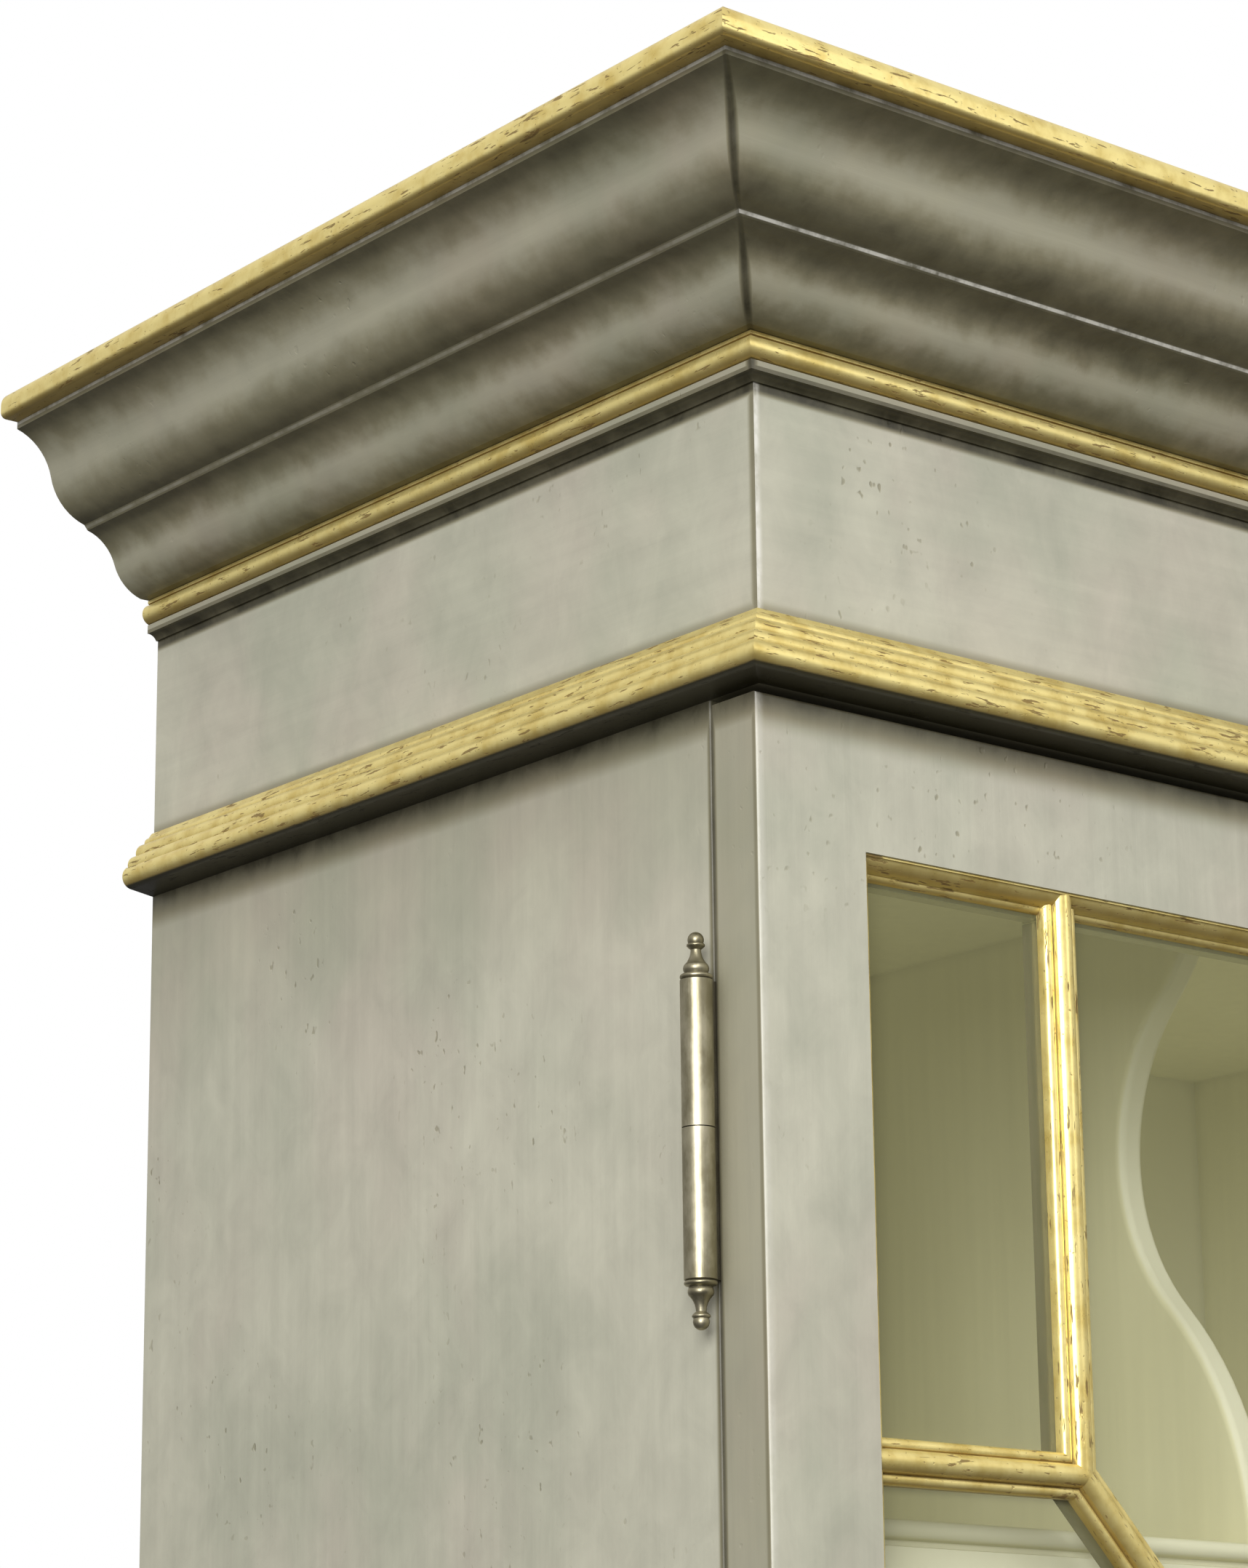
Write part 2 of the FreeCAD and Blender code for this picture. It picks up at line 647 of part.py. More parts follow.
def hinge_halves(split_z):
    """Door half and frame half of a lift-off hinge on the left side of the body."""
    up = Vector(0, 0, 1)
    bottom = split_z - knuckle_length
    top = split_z + knuckle_length
    pin_height = 40.0

    def leaf(y0, own_low, own_high, other_low, other_high):
        own = box(hinge_x + 4.6, hinge_x + leaf_reach, y0, y0 + leaf_thickness, own_low, own_high)
        other = box(hinge_x + barrel_radius + 0.6, hinge_x + leaf_reach, y0, y0 + leaf_thickness,
                    other_low, other_high)
        return own.fuse(other)

    upper_outline = [(0, 0)] + finial_steps()
    upper = turned(upper_outline, Vector(hinge_x, hinge_y, top), up)
    start = split_z + knuckle_gap
    upper = upper.fuse(Part.makeCylinder(barrel_radius, top - start,
                                         Vector(hinge_x, hinge_y, start), up))
    door_leaf = leaf(face_y + door_thickness, start, top + 1, bottom, start)
    upper = upper.fuse(door_leaf)
    bore = Part.makeCylinder(pin_radius + pin_clearance, pin_height + 1,
                             Vector(hinge_x, hinge_y, start - 0.1), up)
    door_half = upper.cut(bore).removeSplitter().Solids[0]

    lower = turned([(0, 0)] + finial_steps(), Vector(hinge_x, hinge_y, bottom), -up)
    lower = lower.fuse(Part.makeCylinder(barrel_radius, knuckle_length,
                                         Vector(hinge_x, hinge_y, bottom), up))
    lower = lower.fuse(Part.makeCylinder(pin_radius, pin_height,
                                         Vector(hinge_x, hinge_y, split_z - 1), up))
    frame_leaf = leaf(carcass_y - leaf_thickness, bottom, split_z, split_z, top + 1)
    frame_half = lower.fuse(frame_leaf).removeSplitter().Solids[0]
    return door_half, frame_half


def knob(z):
    """Turned knob on a round rose, on the meeting stile of the left-hand door."""
    centre = Vector(door_inner - stile_width / 2, face_y, z)
    out = Vector(0, -1, 0)
    rose = [(0, 0), (13.0, 0), bulge((13.0, 0), (9.0, 3.2), -0.8), (7.0, 3.2), (7.0, 4.4), (0, 4.4)]
    head = [(0, 4.4), (5.2, 4.4), bulge((5.2, 4.4), (5.6, 14.0), 1.2), (11.4, 17.6),
            bulge((11.4, 17.6), (11.4, 24.6), -2.2), cap((11.4, 24.6), 28.5)]
    return [turned(rose, centre, out), turned(head, centre, out)]


def strike(z0, z1):
    """Steel plate on the back of the left-hand door, facing the magnet."""
    back = face_y + door_thickness
    return box(-50.0, -16.0, back, back + strike_thickness, z0, z1)


def make_hardware():
    frame_halves = []
    tall = [tall_door_bottom + tall_hinge_inset, opening_middle_z, tall_door_top - tall_hinge_inset]
    low = [low_door_bottom + low_hinge_inset, low_door_top - low_hinge_inset]
    for kind, splits in (("door", tall), ("cupboard", low)):
        pairs = [hinge_halves(z) for z in splits]
        frame_halves += [pair[1] for pair in pairs]
        door_halves = [pair[0] for pair in pairs]
        save("left_" + kind + "_hinge_halves", door_halves)
        save("right_" + kind + "_hinge_halves", mirrored(door_halves))
    save("frame_hinge_halves", both_sides(frame_halves))
    front = face_y + door_thickness + strike_thickness + magnet_gap
    back = front + magnet_depth
    strike_top = low_door_top - 6
    magnets = [box(-52.0, -14.0, front, back, ceiling_z - strike_height, ceiling_z),
               box(-52.0, -14.0, front, back, strike_top - strike_height, waist_top - board)]
    save("door_catches", both_sides(magnets))
    knob_sets = (("door", knob(knob_height) + [strike(ceiling_z - strike_height, ceiling_z)]),
                 ("cupboard", knob(low_door_top - cupboard_knob_drop)
                  + [strike(strike_top - strike_height, strike_top)]))
    for kind, pieces in knob_sets:
        save("left_" + kind + "_knob_set", pieces)
        save("right_" + kind + "_knob_set", mirrored(pieces))


def make_doors():
    stiles, rails = door_frame(tall_door_bottom, tall_door_top)
    sticking = frame_in_opening(sticking_profile(), opening_bottom, opening_top)
    rear_beads = frame_in_opening(rear_bead_profile(), opening_bottom, opening_top)
    glazed = {"door_stiles": stiles, "door_rails": rails, "door_sticking": sticking,
              "door_glazing_bars": glazing_bars(bar_profile(), sticking),
              "door_rear_webs": glazing_bars(web_profile(), rear_beads) + rear_beads,
              "door_glass": glass_panes()}
    stiles, rails = door_frame(low_door_bottom, low_door_top)
    panel_bottom = low_door_bottom + rail_width
    panel_top = low_door_top - rail_width
    cupboard = {"cupboard_door_frame": stiles + rails,
                "cupboard_door_panel": [raised_panel(panel_bottom, panel_top)],
                "cupboard_door_sticking": frame_in_opening(sticking_profile(), panel_bottom,
                                                           panel_top)}
    for name, pieces in list(glazed.items()) + list(cupboard.items()):
        save("left_" + name, pieces)
        save("right_" + name, mirrored(pieces))


make_cornice()
make_carcass()
make_feet()
make_shelves()
make_doors()
make_hardware()
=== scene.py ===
import json
import math

import bpy
from mathutils import Matrix, Vector


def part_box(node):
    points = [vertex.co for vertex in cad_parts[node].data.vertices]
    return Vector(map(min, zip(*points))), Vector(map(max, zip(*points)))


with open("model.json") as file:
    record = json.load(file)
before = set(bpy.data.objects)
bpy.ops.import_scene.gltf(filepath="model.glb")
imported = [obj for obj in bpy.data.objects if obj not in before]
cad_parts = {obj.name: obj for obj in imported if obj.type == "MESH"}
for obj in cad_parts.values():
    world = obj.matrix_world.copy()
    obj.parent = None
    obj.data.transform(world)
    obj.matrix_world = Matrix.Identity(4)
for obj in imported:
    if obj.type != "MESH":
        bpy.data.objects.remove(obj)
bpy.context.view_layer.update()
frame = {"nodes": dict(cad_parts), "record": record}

# ---- places read from the frame -----------------------------------------------------------
frieze_low, frieze_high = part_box("frieze_front")
crown_low, crown_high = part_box("cornice_front")
architrave_low, architrave_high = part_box("architrave_mouldings")
half_width = frieze_high.x
face_y = frieze_low.y
frieze_bottom, frieze_top = architrave_high.z, crown_low.z
door_outer = -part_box("left_door_stiles")[0].x
door_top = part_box("left_door_stiles")[1].z
side_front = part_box("side_panel_left")[0].y
SOFFIT_HEIGHT = 0.0026       # dark underside of the architrave above its lowest line
REAR_BEAD = 0.0092           # width of the beads behind the glass along the frame
CORNER_PANE = 0.1043         # opening edge to the middle of an upright bar
NODE_RISE = 0.4249           # middle of the door to the middle of a level bar


def opening_of(glass):
    """Middle and half size of an opening, with the joints of its bars; glass names its frame."""
    low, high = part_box(glass)
    half_x = (high.x - low.x) / 2
    return {"x": abs(low.x + high.x) / 2, "z": (low.z + high.z) / 2,
            "half_x": half_x, "half_z": (high.z - low.z) / 2,
            "node_x": half_x - CORNER_PANE, "node_z": NODE_RISE}


glazed_opening = opening_of("left_door_sticking")
cupboard_opening = opening_of("left_cupboard_door_sticking")


# ---- node helpers -------------------------------------------------------------------------
class Graph:
    """Short calls that add shader nodes to one material and link them."""

    def __init__(self, material):
        self.tree = material.node_tree
        self.tree.nodes.clear()
        self.object_coords = self.add("ShaderNodeTexCoord").outputs["Object"]
        self.output = self.add("ShaderNodeOutputMaterial")

    def add(self, kind, **values):
        node = self.tree.nodes.new(kind)
        for name, value in values.items():
            setattr(node, name, value)
        return node

    def plug(self, socket, value):
        if isinstance(value, bpy.types.NodeSocket):
            self.tree.links.new(value, socket)
        else:
            socket.default_value = value

    def maths(self, operation, a, b=0.0, c=0.0, clamp=False):
        node = self.add("ShaderNodeMath", operation=operation, use_clamp=clamp)
        for socket, value in zip(node.inputs, (a, b, c)):
            self.plug(socket, value)
        return node.outputs[0]

    def stretched(self, scale):
        """Object coordinates scaled by axis."""
        node = self.add("ShaderNodeVectorMath", operation="MULTIPLY")
        self.plug(node.inputs[0], self.object_coords)
        node.inputs[1].default_value = scale
        return node.outputs[0]

    def noise(self, scale, detail=2.0, roughness=0.5, distortion=0.0, shift=0.0, at=None):
        """Noise from 0 to 1; scale holds cells per metre, at gives ready-scaled coordinates."""
        place = self.add("ShaderNodeVectorMath", operation="ADD")
        self.plug(place.inputs[0], self.stretched(scale) if at is None else at)
        place.inputs[1].default_value = (shift, shift, shift)
        node = self.add("ShaderNodeTexNoise")
        self.plug(node.inputs["Vector"], place.outputs[0])
        node.inputs["Scale"].default_value = 1.0
        node.inputs["Detail"].default_value = detail
        node.inputs["Roughness"].default_value = roughness
        node.inputs["Distortion"].default_value = distortion
        return node.outputs["Fac"]

    def ramp(self, value, low, high, start=0.0, end=1.0, curve="LINEAR"):
        """Clamped map of value from low..high to start..end."""
        node = self.add("ShaderNodeMapRange", clamp=True, interpolation_type=curve)
        for name, setting in (("Value", value), ("From Min", low), ("From Max", high),
                              ("To Min", start), ("To Max", end)):
            self.plug(node.inputs[name], setting)
        return node.outputs["Result"]

    def smooth(self, value, low, high, start=0.0, end=1.0):
        """The same as ramp, with soft ends."""
        return self.ramp(value, low, high, start, end, curve="SMOOTHSTEP")

    def mixed(self, factor, a, b, kind, **settings):
        """Mix node of one data type: a where the factor is 0, b where it is 1."""
        node = self.add("ShaderNodeMix", data_type=kind, **settings)
        self.plug(node.inputs["Factor"], factor)
        for name, value in (("A", a), ("B", b)):
            socket = [s for s in node.inputs if s.name == name and s.type == kind][0]
            self.plug(socket, value)
        return [s for s in node.outputs if s.type == kind][0]

    def blend(self, factor, a, b, mode="MIX"):
        return self.mixed(factor, a, b, "RGBA", blend_type=mode)

    def axis(self, name):
        node = self.add("ShaderNodeSeparateXYZ")
        self.plug(node.inputs[0], self.object_coords)
        return node.outputs[name.upper()]

    def facing(self, name):
        """One component of the surface normal, in the object's own directions."""
        turn = self.add("ShaderNodeVectorTransform", vector_type="NORMAL",
                        convert_from="WORLD", convert_to="OBJECT")
        self.plug(turn.inputs[0], self.add("ShaderNodeNewGeometry").outputs["Normal"])
        node = self.add("ShaderNodeSeparateXYZ")
        self.plug(node.inputs[0], turn.outputs[0])
        return node.outputs[name.upper()]

    def crevice(self, distance, samples=3):
        """1 where other surfaces close in within the distance, 0 in the open."""
        node = self.add("ShaderNodeAmbientOcclusion", samples=samples)
        node.inputs["Distance"].default_value = distance
        return self.maths("SUBTRACT", 1.0, node.outputs["AO"], clamp=True)

    def vector(self, x, y, z):
        node = self.add("ShaderNodeCombineXYZ")
        for socket, value in zip(node.inputs, (x, y, z)):
            self.plug(socket, value)
        return node.outputs[0]

    def either(self, mask, a, b):
        """Vector a where the mask is 0, b where it is 1."""
        return self.mixed(mask, a, b, "VECTOR")

    def size_of(self, value):
        return self.maths("ABSOLUTE", value)

    def from_centre(self):
        """Distance to either side of the middle of the body."""
        return self.size_of(self.axis("x"))

    def band(self, value, middle, half, soft):
        """1 within half of the middle, fading out over soft."""
        off = self.size_of(self.maths("SUBTRACT", value, middle))
        return self.smooth(off, half, half + soft, 1.0, 0.0)

    def bump(self, height, distance):
        """Relief as deep as the distance, in metres."""
        node = self.add("ShaderNodeBump")
        self.plug(node.inputs["Height"], height)
        node.inputs["Distance"].default_value = distance
        node.inputs["Strength"].default_value = 1.0
        return node.outputs["Normal"]

    def surface(self, colour, roughness, normal, metallic=0.0, specular=0.5):
        node = self.add("ShaderNodeBsdfPrincipled")
        self.plug(node.inputs["Base Color"], colour)
        self.plug(node.inputs["Roughness"], roughness)
        self.plug(node.inputs["Metallic"], metallic)
        node.inputs["Specular IOR Level"].default_value = specular
        if normal is not None:
            self.plug(node.inputs["Normal"], normal)
        self.plug(self.output.inputs["Surface"], node.outputs[0])
        return node


def new_graph(name):
    material = bpy.data.materials.new(name)
    material.use_nodes = True
    return material, Graph(material)


# ---- where the finish is worn or dark -------------------------------------------------------
def out_from_body(g):
    """How far a point stands out from the side and from the front of the frieze."""
    return (g.maths("SUBTRACT", g.from_centre(), half_width),
            g.maths("SUBTRACT", face_y, g.axis("y")))


def on_side(g):
    """1 on faces that look left or right."""
    return g.smooth(g.size_of(g.facing("x")), 0.75, 0.95)


def below(g, level, reach, strength):
    """Painted shade under a ledge at the level, fading over the reach below it."""
    depth = g.maths("SUBTRACT", level, g.axis("z"))
    return g.smooth(depth, 0.0, reach, strength, 0.0)


def corner_shadow(g):
    """Dark line down the side face, just behind the front arris."""
    back = g.maths("SUBTRACT", g.axis("y"), face_y)
    return g.maths("MULTIPLY", on_side(g), g.smooth(back, 0.0012, 0.0042, 0.5, 0.0))


def frieze_painted_shade(g):
    """Painted shade: black line under the crown, none of it on the back, a thin shade at the foot,
    and corner_shadow.
    """
    outside = g.smooth(g.facing("y"), 0.3, 0.7, 1.0, 0.0)
    top = g.smooth(g.axis("z"), frieze_top - 0.0055, frieze_top - 0.0022, 0.0, 0.97)
    top = g.maths("MULTIPLY", top, outside)
    foot = g.smooth(g.axis("z"), frieze_bottom + 0.0005, frieze_bottom + 0.005, 0.35, 0.0)
    shade = g.maths("MAXIMUM", top, foot)
    return g.maths("MAXIMUM", shade, corner_shadow(g))


def frieze_wear_and_highlight(g):
    """The two front corners are rubbed, and painted bright as a highlight."""
    on_front = g.smooth(g.size_of(g.facing("y")), 0.5, 0.8)
    edge = g.smooth(g.from_centre(), half_width - 0.0035, half_width - 0.0008)
    return g.maths("MULTIPLY", on_front, edge)


def door_wear(g):
    """Outer arris of the doors."""
    on_front = g.smooth(g.size_of(g.facing("y")), 0.3, 0.7)
    edge = g.smooth(g.from_centre(), door_outer - 0.0045, door_outer - 0.001, 0.0, 0.3)
    return g.maths("MULTIPLY", on_front, edge)


def door_painted_shade(g):
    """Painted shade under the architrave and on the outer edges, darkest at the seam."""
    under = below(g, door_top, 0.016, 0.9)
    back = g.smooth(g.axis("y"), side_front - 0.0054, side_front - 0.0034, 0.24, 0.85)
    edge = g.maths("MULTIPLY", on_side(g), back)
    return g.maths("MAXIMUM", g.maths("MAXIMUM", under, edge), corner_shadow(g))


def side_painted_shade(g):
    """Painted shade under the architrave, with a fainter one further down, and in the front seam."""
    under = g.maths("MAXIMUM", below(g, architrave_low.z, 0.020, 0.95),
                    below(g, architrave_low.z, 0.11, 0.14))
    seam = g.smooth(g.axis("y"), side_front, side_front + 0.003, 0.85, 0.0)
    return g.maths("MAXIMUM", under, seam)


# Levels on the crown, as parts of its height.
UNDERCUT_TOP = 0.028
FOOT_FILLET = 0.063
LOWER_BELLY = 0.33
MIDDLE_FILLET = 0.524
UPPER_BELLY = 0.765
TOP_FILLET = 0.992


def crown_height(g):
    """0 at the foot of the crown, 1 at its top."""
    return g.ramp(g.axis("z"), crown_low.z, crown_high.z)


def crown_painted_shade(g):
    """Painted shade in the hollows and undercut, less on the ends, none on the bellies and foot
    fillet; dark mitres.
    """
    feather = g.noise((60, 60, 60), detail=4.0, roughness=0.62, shift=41.0)
    height = g.maths("ADD", crown_height(g), g.ramp(feather, 0.2, 0.8, -0.05, 0.05))
    upper = g.band(height, UPPER_BELLY, 0.02, 0.22)
    lower = g.band(height, LOWER_BELLY, 0.01, 0.17)
    foot_fillet = g.band(crown_height(g), FOOT_FILLET, 0.012, 0.004)
    unshaded = g.maths("MAXIMUM", g.maths("MAXIMUM", upper, lower), foot_fillet)
    dark = g.maths("SUBTRACT", 0.80, g.maths("MULTIPLY", unshaded, 0.54))
    on_end = g.smooth(g.size_of(g.facing("x")), 0.35, 0.6, 1.03, 0.82)
    dark = g.maths("MULTIPLY", dark, on_end, clamp=True)
    undercut = g.smooth(crown_height(g), UNDERCUT_TOP, UNDERCUT_TOP + 0.006, 0.97, 0.0)
    dark = g.maths("MAXIMUM", dark, undercut)
    out_x, out_y = out_from_body(g)
    mitre = g.size_of(g.maths("SUBTRACT", out_x, out_y))
    return g.maths("MAXIMUM", dark, g.smooth(mitre, 0.0006, 0.005, 0.93, 0.0))


def crown_wear_and_highlight(g):
    """Rubbed arrises and painted highlight: the middle fillet, bright on the front, and the top edge.
    """
    height = crown_height(g)
    front = g.smooth(g.size_of(g.facing("y")), 0.35, 0.6, 0.2, 1.0)
    middle = g.maths("MULTIPLY", g.band(height, MIDDLE_FILLET, 0.004, 0.004), front)
    top = g.band(height, TOP_FILLET, 0.006, 0.006)
    return g.maths("MAXIMUM", middle, g.maths("MULTIPLY", top, 0.5))


# ---- materials ----------------------------------------------------------------------------
SAGE_PALE = (0.520, 0.506, 0.403, 1)
SAGE_GREEN = (0.425, 0.425, 0.332, 1)
SAGE_PINK = (0.490, 0.456, 0.370, 1)
# Umber colours for glazing, specks and painted shade; the rubbed colour also paints highlight.
UMBER_GLAZE_AND_SHADE = (0.032, 0.028, 0.013, 1)
GLAZE_AND_SHADE_STAIN = (0.80, 0.755, 0.61, 1)
RUBBED_AND_LIT = (0.83, 0.81, 0.74, 1)
# Cells of the brushed grain in a metre, for each direction in which it can run.
GRAIN = {"x": (7, 150, 150), "y": (150, 7, 150), "z": (150, 150, 7)}


def glazed_paint(name, grain, painted_shade=None, wear_and_highlight=None):
    """Umber-glazed sage paint: cloudy colour, brushed streaks, specks, painted shade and highlight,
    worn arrises.
    """
    material, g = new_graph(name)
    clouds = g.noise((7, 7, 5.5), detail=4.0, roughness=0.6, distortion=0.5)
    tint = g.noise((11, 11, 8), detail=3.0, roughness=0.55, shift=17.0)
    colour = g.blend(g.smooth(tint, 0.40, 0.64), SAGE_GREEN, SAGE_PINK)
    colour = g.blend(g.smooth(clouds, 0.36, 0.66), colour, SAGE_PALE)
    streaks = g.noise(GRAIN[grain], detail=4.0, roughness=0.65)
    patches = g.noise((46, 46, 34), detail=5.0, roughness=0.68, distortion=0.5, shift=3.0)
    brushed = g.maths("MULTIPLY", g.ramp(streaks, 0.25, 0.75, 0.945, 1.055),
                      g.ramp(patches, 0.28, 0.72, 0.90, 1.075))
    colour = g.blend(1.0, colour, g.vector(brushed, brushed, brushed), "MULTIPLY")
    dots = g.noise((300, 300, 230), detail=1.0, shift=9.0)
    dot_areas = g.noise((9, 9, 9), detail=2.0, shift=31.0)
    dots = g.maths("MULTIPLY", g.ramp(dots, 0.70, 0.78), g.smooth(dot_areas, 0.48, 0.68))
    painted_shade_and_specks = g.maths("MULTIPLY", dots, 0.3)
    # Umber glazing and painted shade gather in crevices, on top of the specks.
    painted_shade_and_specks = g.maths("MAXIMUM", painted_shade_and_specks, g.smooth(g.crevice(0.009), 0.25, 0.9, 0.0, 0.6))
    # Painted shade from the mask passed in, made uneven by the patches.
    if painted_shade is not None:
        uneven = g.ramp(patches, 0.25, 0.75, 0.78, 1.12)
        painted_shade_and_specks = g.maths("MAXIMUM", painted_shade_and_specks, g.maths("MULTIPLY", painted_shade(g), uneven, clamp=True))
    colour = g.blend(g.ramp(painted_shade_and_specks, 0.0, 0.5), colour, GLAZE_AND_SHADE_STAIN, "MULTIPLY")
    colour = g.blend(painted_shade_and_specks, colour, UMBER_GLAZE_AND_SHADE)
    if wear_and_highlight is not None:
        # Rubbed arrises, with painted highlight where the mask marks it.
        chips_and_highlight = g.ramp(g.noise((70, 70, 50), detail=4.0, roughness=0.7, shift=2.0), 0.30, 0.55)
        chips_and_highlight = g.maths("MULTIPLY", g.maths("MULTIPLY", wear_and_highlight(g), chips_and_highlight), 0.85)
        colour = g.blend(chips_and_highlight, colour, RUBBED_AND_LIT)
    relief = g.maths("ADD", streaks, g.maths("MULTIPLY", dots, -1.2))
    g.surface(colour, g.ramp(clouds, 0.3, 0.7, 0.37, 0.47), g.bump(relief, 0.00013))
    return material


GOLD_PALE = (0.965, 0.810, 0.330, 1)
GOLD_DEEP = (0.770, 0.590, 0.180, 1)
GOLD_SHADED_UNDERSIDE = (0.40, 0.27, 0.075, 1)
BOLE_AND_SHADE = (0.170, 0.098, 0.024, 1)
# Cells of the splits in a metre, along and across a moulding.
LONG, ACROSS = 85, 620
DIAGONAL = 0.7               # a slanting direction is a sum of two axes, so it is longer


def along_x(g):
    return g.stretched((LONG, ACROSS, ACROSS))


def along_z(g):
    return g.stretched((ACROSS, ACROSS, LONG))


def along_mitred(g):
    """Along the front on the front length, front to back on the side lengths."""
    out_x, out_y = out_from_body(g)
    return g.either(g.maths("GREATER_THAN", out_x, out_y), along_x(g),
                    g.stretched((ACROSS, LONG, ACROSS)))


def from_middle(g, opening):
    """Signed distances from the middle of a door opening, the same on both doors."""
    u = g.maths("SUBTRACT", g.from_centre(), opening["x"])
    v = g.maths("SUBTRACT", g.axis("z"), opening["z"])
    return u, v


def past_edges(g, opening, margin=0.0):
    """How far a point is past the sides and past the top or bottom of an opening."""
    u, v = from_middle(g, opening)
    return (g.maths("SUBTRACT", g.size_of(u), opening["half_x"] - margin),
            g.maths("SUBTRACT", g.size_of(v), opening["half_z"] - margin))


def along_frame(opening):
    """Up the stiles and along the rails of a frame round an opening."""
    def coordinates(g):
        past_side, past_top = past_edges(g, opening)
        return g.either(g.maths("GREATER_THAN", past_side, past_top), along_x(g), along_z(g))
    return coordinates


def along_bars(opening):
    """Along each glazing bar: upright, level or slanting."""
    def coordinates(g):
        u, v = from_middle(g, opening)
        tall = g.size_of(v)
        total, rest = g.maths("ADD", u, tall), g.maths("SUBTRACT", u, tall)
        off_falling = g.size_of(g.maths("SUBTRACT", total, opening["half_x"]))
        off_rising = g.size_of(g.maths("ADD", rest, opening["half_x"]))
        rising = g.maths("GREATER_THAN", off_falling, off_rising)
        y = g.maths("MULTIPLY", g.axis("y"), ACROSS)

        def slant(length, width):
            return g.vector(g.maths("MULTIPLY", length, LONG * DIAGONAL), y,
                            g.maths("MULTIPLY", width, ACROSS * DIAGONAL))

        slanting = g.either(rising, slant(rest, total), slant(total, rest))
        over = g.maths("SUBTRACT", tall, opening["node_z"])
        aside = g.maths("SUBTRACT", g.size_of(u), opening["node_x"])
        is_upright = g.maths("GREATER_THAN", over, g.size_of(aside))
        is_level = g.maths("GREATER_THAN", aside, g.size_of(over))
        not_upright = g.either(is_level, slanting, along_x(g))
        return g.either(is_upright, not_upright, along_z(g))
    return coordinates


def gold_leaf(name, coordinates, dark_below=None):
    """Pale leaf laid over dark bole, split and rubbed along the length of the moulding, with painted
    shade.
    """
    material, g = new_graph(name)
    at = coordinates(g)
    run = g.noise(None, detail=3.0, roughness=0.6, distortion=0.3, at=at)
    areas = g.noise((26, 26, 26), detail=3.0, roughness=0.6, shift=11.0)
    splits = g.ramp(g.maths("ADD", run, g.ramp(areas, 0.3, 0.7, -0.05, 0.05)), 0.625, 0.66)
    flecks = g.ramp(g.noise((520, 520, 520), detail=2.0, shift=23.0), 0.68, 0.74)
    worn = g.maths("MAXIMUM", splits, g.maths("MULTIPLY", flecks, 0.7))
    tone = g.noise((75, 75, 75), detail=4.0, roughness=0.6, shift=7.0)
    colour = g.blend(g.smooth(tone, 0.28, 0.62), GOLD_DEEP, GOLD_PALE)
    # Painted shade: faces that look down are turned darker brown.
    under = g.smooth(g.facing("z"), -0.15, -0.8, 0.0, 0.75)
    colour = g.blend(under, colour, GOLD_SHADED_UNDERSIDE)
    # Painted shade in crevices, in the bole colour that also shows in the splits.
    painted_shade_and_specks = g.smooth(g.crevice(0.004), 0.35, 0.9, 0.0, 0.8)
    dark = g.maths("MAXIMUM", g.maths("MULTIPLY", worn, 0.86), painted_shade_and_specks)
    colour = g.blend(dark, colour, BOLE_AND_SHADE)
    metal = g.ramp(dark, 0.0, 1.0, 0.62, 0.1)
    rough = g.maths("ADD", g.ramp(tone, 0.3, 0.7, 0.27, 0.40), g.maths("MULTIPLY", dark, 0.3))
    # Painted shade: the unleafed underside of the architrave is painted near black.
    if dark_below is not None:
        soffit = g.smooth(g.axis("z"), dark_below, dark_below + 0.001, 1.0, 0.0)
        colour = g.blend(soffit, colour, UMBER_GLAZE_AND_SHADE)
        metal = g.maths("MULTIPLY", metal, g.maths("SUBTRACT", 1.0, soffit))
    relief = g.maths("SUBTRACT", g.maths("MULTIPLY", run, 0.3), worn)
    g.surface(colour, rough, g.bump(relief, 0.0001), metallic=metal)
    return material


NICKEL_BROWN = (0.30, 0.27, 0.175, 1)
NICKEL_PALE = (0.50, 0.46, 0.33, 1)
NICKEL_GROOVE = (0.035, 0.028, 0.016, 1)
STEEL_DARK = (0.50, 0.50, 0.48, 1)
STEEL_PALE = (0.66, 0.66, 0.64, 1)


def antique_nickel(name):
    """Brushed nickel with brown patina left in its grooves."""
    material, g = new_graph(name)
    brushing = g.noise((900, 900, 60), detail=3.0)
    patina = g.noise((120, 120, 60), detail=4.0, roughness=0.65, shift=4.0)
    colour = g.blend(g.smooth(patina, 0.35, 0.7), NICKEL_BROWN, NICKEL_PALE)
    dark = g.smooth(g.crevice(0.005), 0.15, 0.75, 0.0, 0.9)
    colour = g.blend(dark, colour, NICKEL_GROOVE)
    g.surface(colour, g.ramp(patina, 0.3, 0.7, 0.36, 0.46), g.bump(brushing, 0.00005),
              metallic=g.ramp(dark, 0.0, 0.9, 1.0, 0.4))
    return material


def catch_steel(name):
    material, g = new_graph(name)
    grain = g.noise((500, 500, 500), detail=3.0)
    colour = g.blend(g.smooth(grain, 0.3, 0.7), STEEL_DARK, STEEL_PALE)
    g.surface(colour, g.ramp(grain, 0.3, 0.7, 0.28, 0.42), g.bump(grain, 0.00003), metallic=0.9)
    return material


CREAM_DEEP = (0.830, 0.805, 0.610, 1)
CREAM_PALE = (0.880, 0.860, 0.690, 1)
CREAM_LIT_FRONT = (0.90, 0.895, 0.83, 1)
CORNER_SHADE = (0.16, 0.14, 0.07, 1)
WEB_DARK = (0.085, 0.076, 0.058, 1)
WEB_BROWN = (0.130, 0.117, 0.092, 1)
WEB_SHADOW = (0.02, 0.018, 0.012, 1)
BEAD_DEEP = (0.46, 0.44, 0.29, 1)
BEAD_PALE = (0.54, 0.52, 0.36, 1)


